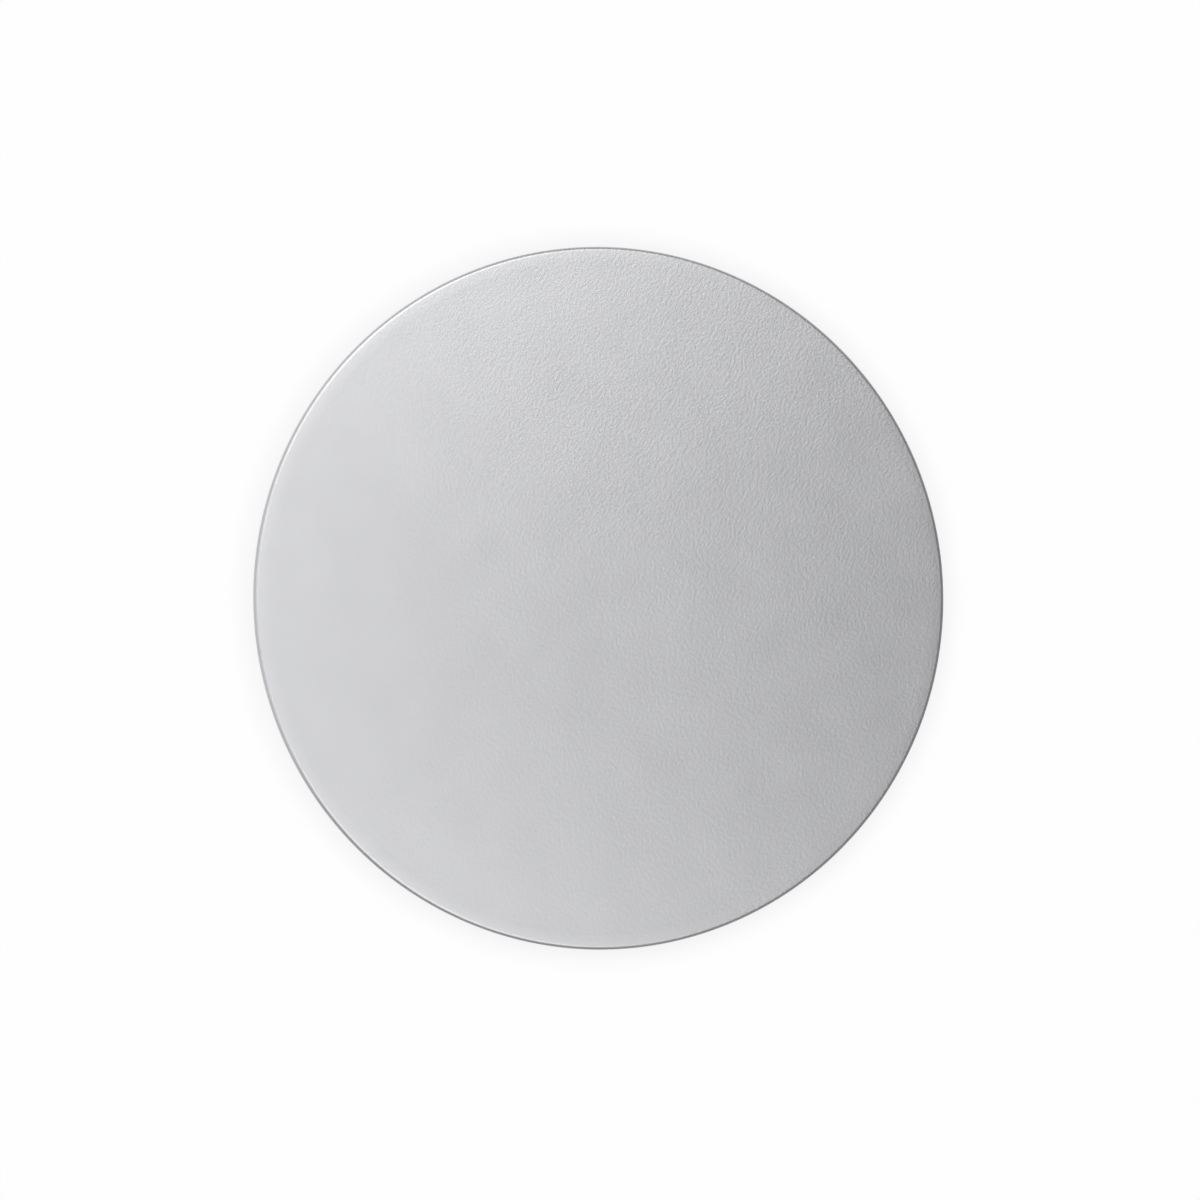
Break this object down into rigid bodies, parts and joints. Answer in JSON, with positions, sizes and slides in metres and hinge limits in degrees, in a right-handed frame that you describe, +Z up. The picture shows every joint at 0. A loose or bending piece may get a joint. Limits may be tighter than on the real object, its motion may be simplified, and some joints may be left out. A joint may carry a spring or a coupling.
{
  "type": "cake board",
  "caption": "Round cake board: a stiff flat disc with a rounded rim, wrapped in silver foil paper that is turned under as a tucked hem below a paper backing.",
  "frame": {"origin": "centre of the plane that the board stands on", "axes": "+Z up through the middle of the disc, out of the foil face that carries the cake"},
  "size_m": [0.254, 0.254, 0.004],
  "materials": {
    "silver_foil": "satin",
    "backing_paper": "matte"
  },
  "bodies": {
    "root": {"cake_board": "silver_foil"}
  },
  "joints": []
}
